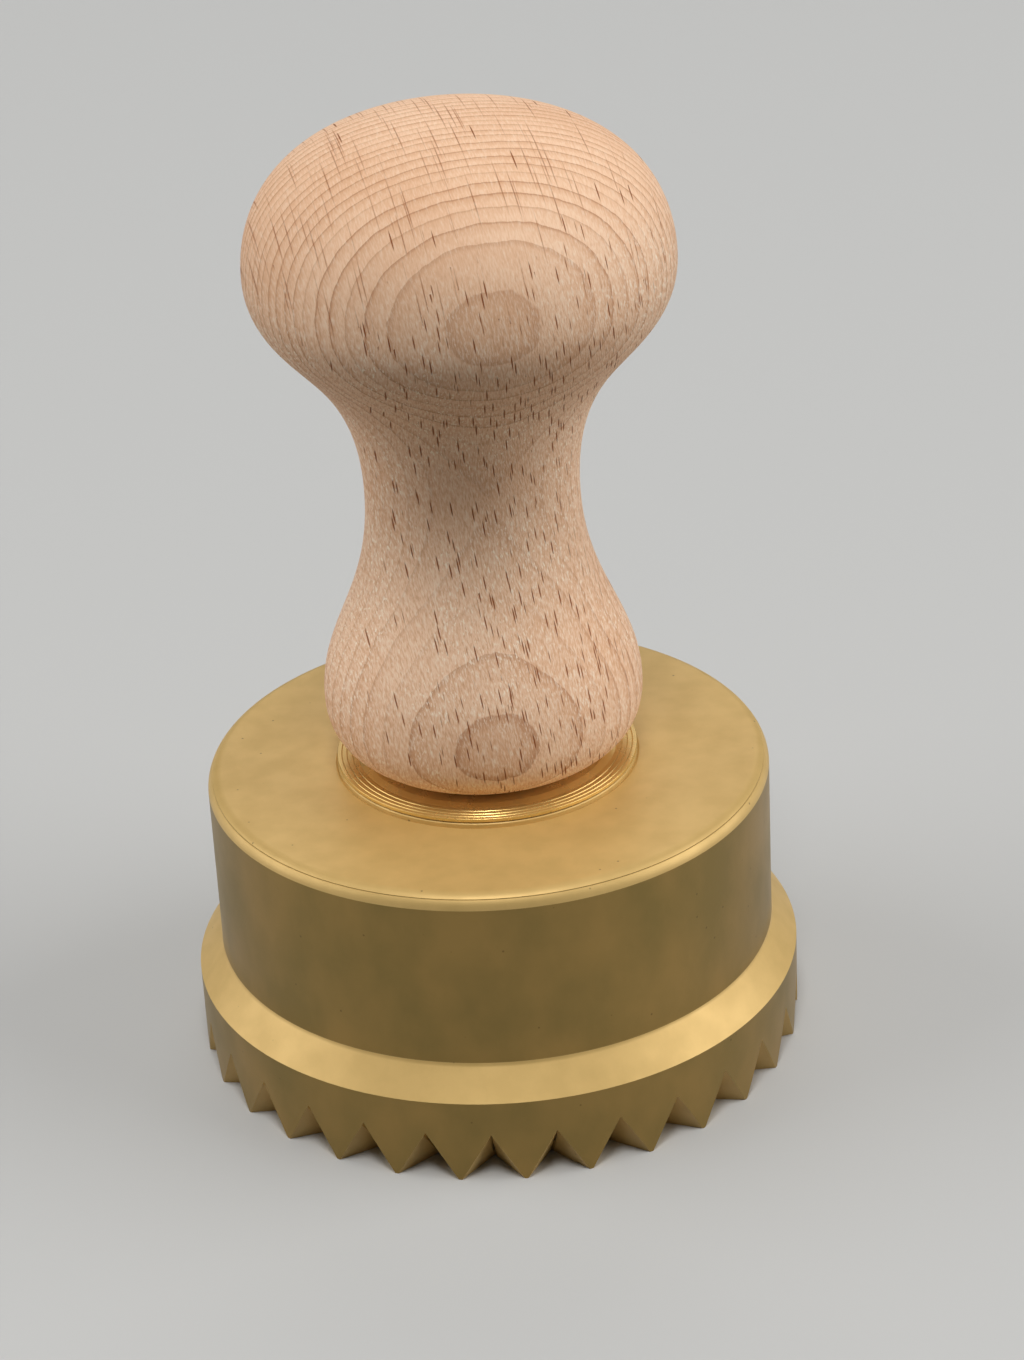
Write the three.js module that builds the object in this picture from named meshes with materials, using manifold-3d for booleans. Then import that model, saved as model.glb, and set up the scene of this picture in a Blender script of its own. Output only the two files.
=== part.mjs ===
// Ravioli stamp: a turned brass die with a toothed rim, a beech knob and a sprung ejector.
// Millimetres, +Z up. The teeth stand on z = 0 and the axis of the stamp is the Z axis.

import * as THREE from 'three';
import { mergeVertices } from 'three/addons/utils/BufferGeometryUtils.js';
import Module from 'manifold-3d';

const wasm = await Module();
wasm.setup();

// Die body: one turned cup, heights counted up from the tooth tips
const BORE_RADIUS = 23.5;
const WALL_THICKNESS = 4.05;
const FLANGE_OVERHANG = 2.45;
const SKIRT_HEIGHT = 8.65;
const BEVEL_RISE = 2.85;
const BEVEL_FILLET = 0.8;
const WALL_HEIGHT = 18.15;
const RIM_FILLET = 1.5;
const TOP_THICKNESS = 3;
const CEILING_FILLET = 1.5;
const BORE_CHAMFER = 0.4;
const PAD_HEIGHT = 0.45;

// Teeth: V notches milled on a slant, from the skirt down and inward to the flat bottom
const TOOTH_COUNT = 30;
const NOTCH_HEIGHT = 5.13;
const NOTCH_RUN = 4.2;
const TIP_LAND = 0.3;

// Guide bush: its flange is the low collar under the knob, its necks clamp body and knob
const COLLAR_RADIUS = 14.7;
const COLLAR_THICKNESS = 0.45;
const COLLAR_EDGE = 0.12;
const LAND_RADIUS = 12.7;
const LAND_HEIGHT = 0.25;
const NECK_RADIUS = 6;
const SPIGOT_LENGTH = 14;
const NECK_CHAMFER = 0.6;
const THREAD_STAND_OUT = 0.65;
const WASHER_THICKNESS = 1;
const WASHER_RIM = 4.6;
const RING_NUT_WALL = 2.4;
const RING_NUT_THICKNESS = 3;

// Knob: heights counted up from its seat on the collar
const FOOT_RADIUS = 10.45;
const BULGE_RADIUS = 15.45;
const BULGE_HEIGHT = 6.65;
const WAIST_RADIUS = 10.2;
const WAIST_HEIGHT = 27.65;
const HEAD_RADIUS = 20;
const HEAD_HEIGHT = 50.15;
const KNOB_HEIGHT = 64.1;
const INSERT_WALL = 2.3;
const INSERT_DEPTH = 15.2;
const DRILL_POINT = 2.4;

// Ejector: a dished piston on a stem that slides in the bush
const EJECTOR_RECESS = 1.5;
const DISH_DEPTH = 5.2;
const DISH_FILLET = 1.6;
const WEB_THICKNESS = 2.8;
const PISTON_RIM = 2.6;
const PISTON_CHAMFER = 0.5;
const HUB_HEIGHT = 2.4;
const STEM_RADIUS = 3;
const STEM_THREAD_RADIUS = 2.5;
const SCREW_RADIUS = 2;
const SCREW_HEAD_RADIUS = 4;
const SCREW_ENGAGEMENT = 8;
const TAP_DEPTH = 10;
const STOP_WASHER_RIM = 2.4;
const STOP_WASHER_THICKNESS = 1;
const STOP_NUT_WALL = 1.5;
const STOP_NUT_THICKNESS = 4;
const STEM_TRAVEL = 8;

// Spring between the ceiling of the cup and the piston
const WIRE_RADIUS = 0.75;
const SPRING_TURNS = 5;
const END_TURN_EASING = 0.4;

// Fits
const PISTON_CLEARANCE = 0.4;
const SLIDE_CLEARANCE = 0.08;
const THREAD_CLEARANCE = 0.12;
const SEAT_GAP = 0.05;
const SPRING_CLEARANCE = 0.5;
const BORE_END_CLEARANCE = 2.5;

// Facets
const SEGMENTS_PER_TOOTH = 4;
const KNOB_SEGMENTS = 60;
const BUSH_SEGMENTS = 48;
const PIN_SEGMENTS = 32;
const CURVE_STEPS = 7;
const FILLET_STEPS = 3;
const WIRE_SIDES = 6;
const WIRE_STEPS_PER_TURN = 16;

// Levels along the axis, from the teeth upward
const WALL_RADIUS = BORE_RADIUS + WALL_THICKNESS;
const FLANGE_RADIUS = WALL_RADIUS + FLANGE_OVERHANG;
const WALL_FOOT = SKIRT_HEIGHT + BEVEL_RISE;
const BODY_TOP = WALL_FOOT + WALL_HEIGHT;
const CEILING = BODY_TOP - TOP_THICKNESS;
const PAD_TOP = BODY_TOP + PAD_HEIGHT;
const COLLAR_FOOT = PAD_TOP + SEAT_GAP;
const COLLAR_TOP = COLLAR_FOOT + COLLAR_THICKNESS;
const LAND_TOP = COLLAR_TOP + LAND_HEIGHT;
const KNOB_SEAT = LAND_TOP + SEAT_GAP;
const WASHER_FOOT = CEILING - SEAT_GAP - WASHER_THICKNESS;
const RING_NUT_FOOT = WASHER_FOOT - SEAT_GAP - RING_NUT_THICKNESS;
const BUSH_FOOT = RING_NUT_FOOT - THREAD_STAND_OUT;
const BUSH_TOP = LAND_TOP + SPIGOT_LENGTH;
const INSERT_TOP = KNOB_SEAT + INSERT_DEPTH;
const DISH_CEILING = EJECTOR_RECESS + DISH_DEPTH;
const WEB_TOP = DISH_CEILING + WEB_THICKNESS;
const STEM_FOOT = WEB_TOP + HUB_HEIGHT + SEAT_GAP;
const STOP_WASHER_FOOT = BUSH_TOP + SEAT_GAP;
const STOP_NUT_FOOT = STOP_WASHER_FOOT + STOP_WASHER_THICKNESS + SEAT_GAP;
const STEM_TOP = STOP_NUT_FOOT + STOP_NUT_THICKNESS + THREAD_STAND_OUT;

// Radii that follow from the fits
const NECK_BORE_RADIUS = NECK_RADIUS + THREAD_CLEARANCE;
const WASHER_RADIUS = NECK_RADIUS + WASHER_RIM;
const INSERT_RADIUS = NECK_BORE_RADIUS + INSERT_WALL;
const INSERT_BORE_RADIUS = INSERT_RADIUS + THREAD_CLEARANCE;
const PISTON_RADIUS = BORE_RADIUS - PISTON_CLEARANCE;
const DISH_RADIUS = PISTON_RADIUS - PISTON_RIM;
const SPRING_RADIUS = WASHER_RADIUS + SPRING_CLEARANCE + WIRE_RADIUS;
const HUB_RADIUS = SPRING_RADIUS - WIRE_RADIUS - SPRING_CLEARANCE;
const STOP_BORE_RADIUS = STEM_THREAD_RADIUS + THREAD_CLEARANCE;
const STOP_WASHER_RADIUS = STOP_BORE_RADIUS + STOP_WASHER_RIM;
const STOP_NUT_FLAT = STOP_BORE_RADIUS + STOP_NUT_WALL;
const RING_NUT_FLAT = NECK_BORE_RADIUS + RING_NUT_WALL;
const HEX_CORNER = 1 / Math.cos(Math.PI / 6);
const STOP_REACH = Math.max(STOP_WASHER_RADIUS, STOP_NUT_FLAT * HEX_CORNER);
const STEM_BORE_RADIUS = STOP_REACH + SLIDE_CLEARANCE + PISTON_CLEARANCE;
const STEM_BORE_TOP = STEM_TOP + STEM_TRAVEL + BORE_END_CLEARANCE;

const beech = () => new THREE.MeshStandardMaterial({ color: 0xd8b08a, roughness: 0.75, metalness: 0 });
const brass = () => new THREE.MeshStandardMaterial({ color: 0xb8954f, roughness: 0.35, metalness: 1 });
const steel = () => new THREE.MeshStandardMaterial({ color: 0xb9bcbe, roughness: 0.3, metalness: 1 });

// A solid of revolution about Z from a profile of radius and height
function turned(profile, segments, curveSteps = CURVE_STEPS) {
  const geometry = new THREE.LatheGeometry(profile.getPoints(curveSteps), segments);
  geometry.rotateX(Math.PI / 2);
  geometry.deleteAttribute('normal');
  geometry.deleteAttribute('uv');
  return mergeVertices(geometry);
}

// A line to a corner that is rounded off on the way to the next point
function roundedCorner(profile, corner, next, radius) {
  const from = profile.currentPoint.clone();
  const along = corner.clone().sub(from).normalize();
  const onward = next.clone().sub(corner).normalize();
  const reach = radius * Math.tan(along.angleTo(onward) / 2);
  const start = corner.clone().addScaledVector(along, -reach);
  const end = corner.clone().addScaledVector(onward, reach);
  profile.lineTo(start.x, start.y);
  profile.quadraticCurveTo(corner.x, corner.y, end.x, end.y);
}

function ringProfile(inner, outer, foot, top) {
  const profile = new THREE.Path();
  profile.moveTo(inner, foot);
  profile.lineTo(outer, foot);
  profile.lineTo(outer, top);
  profile.lineTo(inner, top);
  profile.closePath();
  return profile;
}

function toSolid(geometry) {
  const vertProperties = new Float32Array(geometry.attributes.position.array);
  const triVerts = new Uint32Array(geometry.index.array);
  return new wasm.Manifold(new wasm.Mesh({ numProp: 3, vertProperties, triVerts }));
}

function toGeometry(solid) {
  const mesh = solid.getMesh();
  const geometry = new THREE.BufferGeometry();
  geometry.setAttribute('position', new THREE.BufferAttribute(mesh.vertProperties, mesh.numProp));
  geometry.setIndex(new THREE.BufferAttribute(mesh.triVerts, 1));
  return geometry;
}

function part(name, geometry, material) {
  const mesh = new THREE.Mesh(geometry, material);
  mesh.name = name;
  return mesh;
}

// One milled notch at the front: a V prism whose root runs from the skirt to the flat bottom
function notchCutter() {
  const slope = Math.atan2(NOTCH_HEIGHT, NOTCH_RUN);
  const halfPitch = Math.PI / TOOTH_COUNT;
  const tipOffset = FLANGE_RADIUS * Math.sin(halfPitch) - TIP_LAND / 2;
  const tipSag = FLANGE_RADIUS * (1 - Math.cos(halfPitch));
  const tipDepth = NOTCH_HEIGHT * Math.cos(slope) - tipSag * Math.sin(slope);
  const mouth = 2 * tipDepth;
  const mouthHalfWidth = mouth * tipOffset / tipDepth;
  const section = new THREE.Shape();
  section.moveTo(0, 0);
  section.lineTo(mouthHalfWidth, mouth);
  section.lineTo(-mouthHalfWidth, mouth);
  section.closePath();
  const rootLength = Math.hypot(NOTCH_HEIGHT, NOTCH_RUN);
  const cutter = new THREE.ExtrudeGeometry(section, { depth: 3 * rootLength, bevelEnabled: false });
  const outward = new THREE.Vector3(0, -1, 0);
  const up = new THREE.Vector3(0, 0, 1);
  const tangent = new THREE.Vector3(1, 0, 0);
  const root = new THREE.Vector3();
  root.addScaledVector(outward, -Math.cos(slope)).addScaledVector(up, -Math.sin(slope));
  const opening = new THREE.Vector3().crossVectors(root, tangent);
  const start = new THREE.Vector3();
  start.addScaledVector(outward, FLANGE_RADIUS).addScaledVector(up, NOTCH_HEIGHT);
  start.addScaledVector(root, -rootLength);
  cutter.applyMatrix4(new THREE.Matrix4().makeBasis(tangent, opening, root).setPosition(start));
  cutter.deleteAttribute('normal');
  cutter.deleteAttribute('uv');
  return mergeVertices(cutter);
}

// Die body: skirt, bevel, wall, rounded rim, raised pad and the bored cup in one turned piece
function dieBody() {
  const profile = new THREE.Path();
  profile.moveTo(BORE_RADIUS + BORE_CHAMFER, 0);
  profile.lineTo(FLANGE_RADIUS, 0);
  profile.lineTo(FLANGE_RADIUS, SKIRT_HEIGHT);
  const wallFoot = new THREE.Vector2(WALL_RADIUS, WALL_FOOT);
  roundedCorner(profile, wallFoot, new THREE.Vector2(WALL_RADIUS, BODY_TOP), BEVEL_FILLET);
  profile.lineTo(WALL_RADIUS, BODY_TOP - RIM_FILLET);
  const rimCentre = WALL_RADIUS - RIM_FILLET;
  profile.absarc(rimCentre, BODY_TOP - RIM_FILLET, RIM_FILLET, 0, Math.PI / 2, false);
  profile.lineTo(COLLAR_RADIUS, BODY_TOP);
  profile.lineTo(COLLAR_RADIUS, PAD_TOP);
  profile.lineTo(NECK_BORE_RADIUS, PAD_TOP);
  profile.lineTo(NECK_BORE_RADIUS, CEILING);
  const ceilingCorner = new THREE.Vector2(BORE_RADIUS, CEILING);
  roundedCorner(profile, ceilingCorner, new THREE.Vector2(BORE_RADIUS, 0), CEILING_FILLET);
  profile.lineTo(BORE_RADIUS, BORE_CHAMFER);
  profile.closePath();
  let solid = toSolid(turned(profile, TOOTH_COUNT * SEGMENTS_PER_TOOTH, FILLET_STEPS));
  const cutter = notchCutter();
  for (let tooth = 0; tooth < TOOTH_COUNT; tooth += 1) {
    const turn = tooth * 2 * Math.PI / TOOTH_COUNT;
    solid = solid.subtract(toSolid(cutter.clone().rotateZ(turn)));
  }
  return part('die_body', toGeometry(solid), brass());
}

// Guide bush: collar flange with a raised seat, a neck down through the body and one up the knob
function guideBush() {
  const profile = new THREE.Path();
  const bore = STEM_RADIUS + SLIDE_CLEARANCE;
  profile.moveTo(bore, BUSH_FOOT);
  profile.lineTo(NECK_RADIUS - NECK_CHAMFER, BUSH_FOOT);
  profile.lineTo(NECK_RADIUS, BUSH_FOOT + NECK_CHAMFER);
  profile.lineTo(NECK_RADIUS, COLLAR_FOOT);
  profile.lineTo(COLLAR_RADIUS - COLLAR_EDGE, COLLAR_FOOT);
  profile.lineTo(COLLAR_RADIUS, COLLAR_FOOT + COLLAR_EDGE);
  profile.lineTo(COLLAR_RADIUS, COLLAR_TOP - COLLAR_EDGE);
  profile.lineTo(COLLAR_RADIUS - COLLAR_EDGE, COLLAR_TOP);
  profile.lineTo(LAND_RADIUS, COLLAR_TOP);
  profile.lineTo(LAND_RADIUS, LAND_TOP);
  profile.lineTo(NECK_RADIUS, LAND_TOP);
  profile.lineTo(NECK_RADIUS, BUSH_TOP - NECK_CHAMFER);
  profile.lineTo(NECK_RADIUS - NECK_CHAMFER, BUSH_TOP);
  profile.lineTo(bore, BUSH_TOP);
  profile.closePath();
  return part('guide_bush', turned(profile, BUSH_SEGMENTS), brass());
}

// Knob: turned beech, drilled from below for the insert and for the end of the stem
function knob() {
  const foot = KNOB_SEAT;
  const bulge = foot + BULGE_HEIGHT;
  const waist = foot + WAIST_HEIGHT;
  const head = foot + HEAD_HEIGHT;
  const crown = foot + KNOB_HEIGHT;
  const lower = waist - bulge;
  const upper = head - waist;
  const dome = crown - head;
  const flare = BULGE_RADIUS - FOOT_RADIUS;
  const profile = new THREE.Path();
  profile.moveTo(0, STEM_BORE_TOP + DRILL_POINT);
  profile.lineTo(STEM_BORE_RADIUS, STEM_BORE_TOP);
  profile.lineTo(STEM_BORE_RADIUS, INSERT_TOP);
  profile.lineTo(INSERT_BORE_RADIUS, INSERT_TOP);
  profile.lineTo(INSERT_BORE_RADIUS, foot);
  profile.lineTo(FOOT_RADIUS, foot);
  profile.bezierCurveTo(FOOT_RADIUS + 0.63 * flare, foot + 0.23 * BULGE_HEIGHT,
    BULGE_RADIUS, foot + 0.44 * BULGE_HEIGHT, BULGE_RADIUS, bulge);
  profile.bezierCurveTo(BULGE_RADIUS, bulge + 0.33 * lower,
    WAIST_RADIUS, waist - 0.51 * lower, WAIST_RADIUS, waist);
  profile.bezierCurveTo(WAIST_RADIUS, waist + 0.64 * upper,
    HEAD_RADIUS, head - 0.36 * upper, HEAD_RADIUS, head);
  profile.bezierCurveTo(HEAD_RADIUS, head + 0.41 * dome,
    0.83 * HEAD_RADIUS, crown, 0, crown);
  return part('handle', turned(profile, KNOB_SEGMENTS), beech());
}

function handleInsert() {
  const profile = ringProfile(NECK_BORE_RADIUS, INSERT_RADIUS, KNOB_SEAT, INSERT_TOP - SEAT_GAP);
  return part('handle_insert', turned(profile, BUSH_SEGMENTS), brass());
}

function bushWasher() {
  const profile = ringProfile(NECK_BORE_RADIUS, WASHER_RADIUS, WASHER_FOOT, WASHER_FOOT + WASHER_THICKNESS);
  return part('bush_washer', turned(profile, BUSH_SEGMENTS), steel());
}

// A hexagon nut with a plain bore, standing on the level given
function hexNut(name, flat, bore, thickness, foot, material) {
  const outline = new THREE.Shape();
  for (let corner = 0; corner < 6; corner += 1) {
    const turn = corner * Math.PI / 3;
    const point = new THREE.Vector2(flat * HEX_CORNER * Math.cos(turn), flat * HEX_CORNER * Math.sin(turn));
    if (corner === 0) outline.moveTo(point.x, point.y);
    else outline.lineTo(point.x, point.y);
  }
  outline.closePath();
  const hole = new THREE.Path();
  hole.absarc(0, 0, bore, 0, 2 * Math.PI, true);
  outline.holes.push(hole);
  const settings = { depth: thickness, bevelEnabled: false, curveSegments: PIN_SEGMENTS / 2 };
  const geometry = new THREE.ExtrudeGeometry(outline, settings);
  geometry.translate(0, 0, foot);
  return part(name, geometry, material);
}

// Ejector piston: a dished disc with a guiding rim, a hub for the spring and a countersunk hole
function ejectorPlate() {
  const hole = SCREW_RADIUS + THREAD_CLEARANCE;
  const sink = SCREW_HEAD_RADIUS + THREAD_CLEARANCE;
  const profile = new THREE.Path();
  profile.moveTo(DISH_RADIUS, EJECTOR_RECESS);
  profile.lineTo(PISTON_RADIUS - PISTON_CHAMFER, EJECTOR_RECESS);
  profile.lineTo(PISTON_RADIUS, EJECTOR_RECESS + PISTON_CHAMFER);
  profile.lineTo(PISTON_RADIUS, WEB_TOP - PISTON_CHAMFER);
  profile.lineTo(PISTON_RADIUS - PISTON_CHAMFER, WEB_TOP);
  profile.lineTo(HUB_RADIUS, WEB_TOP);
  profile.lineTo(HUB_RADIUS, WEB_TOP + HUB_HEIGHT);
  profile.lineTo(hole, WEB_TOP + HUB_HEIGHT);
  profile.lineTo(hole, DISH_CEILING + sink - hole);
  profile.lineTo(sink, DISH_CEILING);
  const dishCorner = new THREE.Vector2(DISH_RADIUS, DISH_CEILING);
  roundedCorner(profile, dishCorner, new THREE.Vector2(DISH_RADIUS, EJECTOR_RECESS), DISH_FILLET);
  profile.closePath();
  const segments = TOOTH_COUNT * SEGMENTS_PER_TOOTH / 2;
  return part('ejector_plate', turned(profile, segments, FILLET_STEPS), brass());
}

// Stem: tapped from below for the screw, stepped down at the top for the stop nut
function ejectorStem() {
  const tap = SCREW_RADIUS + THREAD_CLEARANCE;
  const profile = new THREE.Path();
  profile.moveTo(0, STEM_FOOT + TAP_DEPTH);
  profile.lineTo(tap, STEM_FOOT + TAP_DEPTH);
  profile.lineTo(tap, STEM_FOOT);
  profile.lineTo(STEM_RADIUS, STEM_FOOT);
  profile.lineTo(STEM_RADIUS, STOP_WASHER_FOOT - SEAT_GAP);
  profile.lineTo(STEM_THREAD_RADIUS, STOP_WASHER_FOOT - SEAT_GAP);
  profile.lineTo(STEM_THREAD_RADIUS, STEM_TOP);
  profile.lineTo(0, STEM_TOP);
  return part('ejector_stem', turned(profile, PIN_SEGMENTS), steel());
}

// Countersunk screw that pulls the piston up against the stem
function ejectorScrew() {
  const cone = SCREW_HEAD_RADIUS - SCREW_RADIUS;
  const profile = new THREE.Path();
  profile.moveTo(0, DISH_CEILING);
  profile.lineTo(SCREW_HEAD_RADIUS, DISH_CEILING);
  profile.lineTo(SCREW_RADIUS, DISH_CEILING + cone);
  profile.lineTo(SCREW_RADIUS, STEM_FOOT + SCREW_ENGAGEMENT);
  profile.lineTo(0, STEM_FOOT + SCREW_ENGAGEMENT);
  return part('ejector_screw', turned(profile, PIN_SEGMENTS), steel());
}

function stopWasher() {
  const top = STOP_WASHER_FOOT + STOP_WASHER_THICKNESS;
  const profile = ringProfile(STOP_BORE_RADIUS, STOP_WASHER_RADIUS, STOP_WASHER_FOOT, top);
  return part('stop_washer', turned(profile, PIN_SEGMENTS), steel());
}

// Centre line of the spring: an even helix whose end turns lie closer together
class SpringLine extends THREE.Curve {
  constructor(foot, top) {
    super();
    this.foot = foot;
    this.rise = top - foot;
  }

  getPoint(share, target = new THREE.Vector3()) {
    const turn = 2 * Math.PI * SPRING_TURNS * share;
    const ease = END_TURN_EASING * Math.sin(2 * Math.PI * share) / (2 * Math.PI);
    const height = this.foot + this.rise * (share - ease);
    return target.set(SPRING_RADIUS * Math.cos(turn), SPRING_RADIUS * Math.sin(turn), height);
  }
}

function leastTurnGap(line) {
  const samples = SPRING_TURNS * WIRE_STEPS_PER_TURN * 4;
  const points = line.getPoints(samples);
  const halfTurn = samples / SPRING_TURNS / 2;
  let least = Infinity;
  for (let one = 0; one < points.length; one += 1) {
    for (let other = one + halfTurn; other < points.length; other += 1) {
      least = Math.min(least, points[one].distanceTo(points[other]) - 2 * WIRE_RADIUS);
    }
  }
  return least;
}

function ejectorSpring() {
  const foot = WEB_TOP + SEAT_GAP + WIRE_RADIUS;
  const top = CEILING - SEAT_GAP - WIRE_RADIUS;
  const line = new SpringLine(foot, top);
  console.log(`least gap between turns of the spring: ${leastTurnGap(line).toFixed(2)} mm`);
  const section = new THREE.Shape();
  section.absarc(0, 0, WIRE_RADIUS, 0, 2 * Math.PI, false);
  const geometry = new THREE.ExtrudeGeometry(section, {
    steps: SPRING_TURNS * WIRE_STEPS_PER_TURN,
    curveSegments: WIRE_SIDES / 2,
    extrudePath: line,
    bevelEnabled: false,
  });
  return part('ejector_spring', geometry, steel());
}

const ringNut = hexNut('ring_nut', RING_NUT_FLAT, NECK_BORE_RADIUS, RING_NUT_THICKNESS, RING_NUT_FOOT, brass());
const stopNut = hexNut('stop_nut', STOP_NUT_FLAT, STOP_BORE_RADIUS, STOP_NUT_THICKNESS, STOP_NUT_FOOT, steel());

const stamp = new THREE.Group();
stamp.add(dieBody(), guideBush(), bushWasher(), ringNut, handleInsert(), knob(), ejectorSpring());

const ejector = new THREE.Group();
ejector.add(ejectorPlate(), ejectorStem(), ejectorScrew(), stopWasher(), stopNut);
stamp.add(ejector);

export default stamp;
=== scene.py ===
"""Looks of a ravioli stamp: a turned brass die with a toothed rim, a beech knob and a sprung ejector."""

import logging
import math
from dataclasses import dataclass, field
from enum import Enum

import bmesh
import bpy
from mathutils import Matrix, Vector, geometry


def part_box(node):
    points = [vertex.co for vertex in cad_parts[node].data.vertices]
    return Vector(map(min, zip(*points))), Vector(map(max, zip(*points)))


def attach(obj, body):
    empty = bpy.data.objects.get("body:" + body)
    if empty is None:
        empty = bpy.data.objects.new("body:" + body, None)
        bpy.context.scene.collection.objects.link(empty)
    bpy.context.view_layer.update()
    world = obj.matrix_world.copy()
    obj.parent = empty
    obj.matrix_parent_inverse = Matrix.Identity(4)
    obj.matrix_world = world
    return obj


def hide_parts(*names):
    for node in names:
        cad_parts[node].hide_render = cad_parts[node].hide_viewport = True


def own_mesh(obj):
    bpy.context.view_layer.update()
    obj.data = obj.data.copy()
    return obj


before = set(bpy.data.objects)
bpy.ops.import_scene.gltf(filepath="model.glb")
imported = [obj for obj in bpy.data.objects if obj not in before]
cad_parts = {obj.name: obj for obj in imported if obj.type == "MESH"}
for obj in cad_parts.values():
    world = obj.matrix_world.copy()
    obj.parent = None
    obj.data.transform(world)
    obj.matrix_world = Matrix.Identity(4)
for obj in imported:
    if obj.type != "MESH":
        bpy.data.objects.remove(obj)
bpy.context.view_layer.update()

log = logging.getLogger("ravioli_stamp")

MM = 0.001
FULL_TURN = 2 * math.pi
UP = Vector((0, 0, 1))
ORIGIN = (0, 0, 0)
IMAGE_WIDTH = 1024
MERGE_DISTANCE = 0.0005 * MM
SHARP_ANGLE = math.radians(18)
BRASS_STEPS = 224
WHOLE = (0.0, 1.0)

Point = tuple[float, float]
Span = tuple[float, float]
Cell = tuple[float, float, float]
Colour = tuple[float, float, float, float]
Material = bpy.types.Material
Socket = bpy.types.NodeSocket
Piece = bpy.types.Object
Mesh = bmesh.types.BMesh


class Body(Enum):
    """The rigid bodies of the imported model."""

    STAMP = "stamp"
    EJECTOR = "ejector"


class Slot(Enum):
    """The record's material slots."""

    DIE_BRASS = "die_brass"
    FITTING_BRASS = "fitting_brass"
    BEECH = "beech"
    STEEL = "steel"


class Node(Enum):
    """The shader nodes that the finishes are made of."""

    PLACE = "ShaderNodeTexCoord"
    MAPPING = "ShaderNodeMapping"
    SPLIT = "ShaderNodeSeparateXYZ"
    JOIN = "ShaderNodeCombineXYZ"
    CHANNELS = "ShaderNodeSeparateColor"
    SURFACE = "ShaderNodeNewGeometry"
    NOISE = "ShaderNodeTexNoise"
    CELLS = "ShaderNodeTexVoronoi"
    LOTS = "ShaderNodeTexWhiteNoise"
    RANGE = "ShaderNodeMapRange"
    MATH = "ShaderNodeMath"
    VECTOR_MATH = "ShaderNodeVectorMath"
    MIX = "ShaderNodeMix"
    BUMP = "ShaderNodeBump"
    LIGHT_PATH = "ShaderNodeLightPath"


def to_linear(hex_colour: str) -> Colour:
    """Turns an sRGB hex colour into linear RGBA.

    Args:
        hex_colour: Six hex digits after a hash sign.

    Returns:
        Linear red, green and blue with an alpha of 1.
    """
    channels = [int(hex_colour[i:i + 2], 16) / 255 for i in (1, 3, 5)]
    linear = [c / 12.92 if c <= 0.04045 else ((c + 0.055) / 1.055) ** 2.4 for c in channels]
    return (*linear, 1.0)


def per_metre(cell: Cell) -> Cell:
    """Gives the scale at which one unit is one cell of the given size."""
    return tuple(1 / size for size in cell)


class Tree:
    """A node material in the making."""

    def __init__(self, name: str) -> None:
        """Makes the material, with a Principled shader in it."""
        self.material = bpy.data.materials.new(name)
        self.material.use_nodes = True

    def add(self, kind: Node, links: dict | tuple = (), out: str | int = 0, **settings: str) -> Socket:
        """Adds one shader node with its settings and inputs.

        Args:
            kind: The node's kind.
            links: Values or feeding outputs, in the order of the inputs or under their names or numbers.
            out: The name or number of the wanted output.
            **settings: Attributes of the node.

        Returns:
            The wanted output.
        """
        node = self.material.node_tree.nodes.new(kind.value)
        for name, value in settings.items():
            setattr(node, name, value)
        self._feed(node, links)
        return node.outputs[out]

    def finish(self, links: dict) -> Material:
        """Feeds the shader.

        Args:
            links: Values or feeding outputs, under the names of its inputs.

        Returns:
            The material.
        """
        self._feed(self.material.node_tree.nodes["Principled BSDF"], links)
        return self.material

    def _feed(self, node: bpy.types.Node, links: dict | tuple) -> None:
        """Sets inputs of a node.

        Args:
            node: The node.
            links: Values, or outputs to link from.
        """
        pairs = links.items() if isinstance(links, dict) else enumerate(links)
        for socket, value in pairs:
            if isinstance(value, Socket):
                self.material.node_tree.links.new(value, node.inputs[socket])
            else:
                node.inputs[socket].default_value = value


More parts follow.
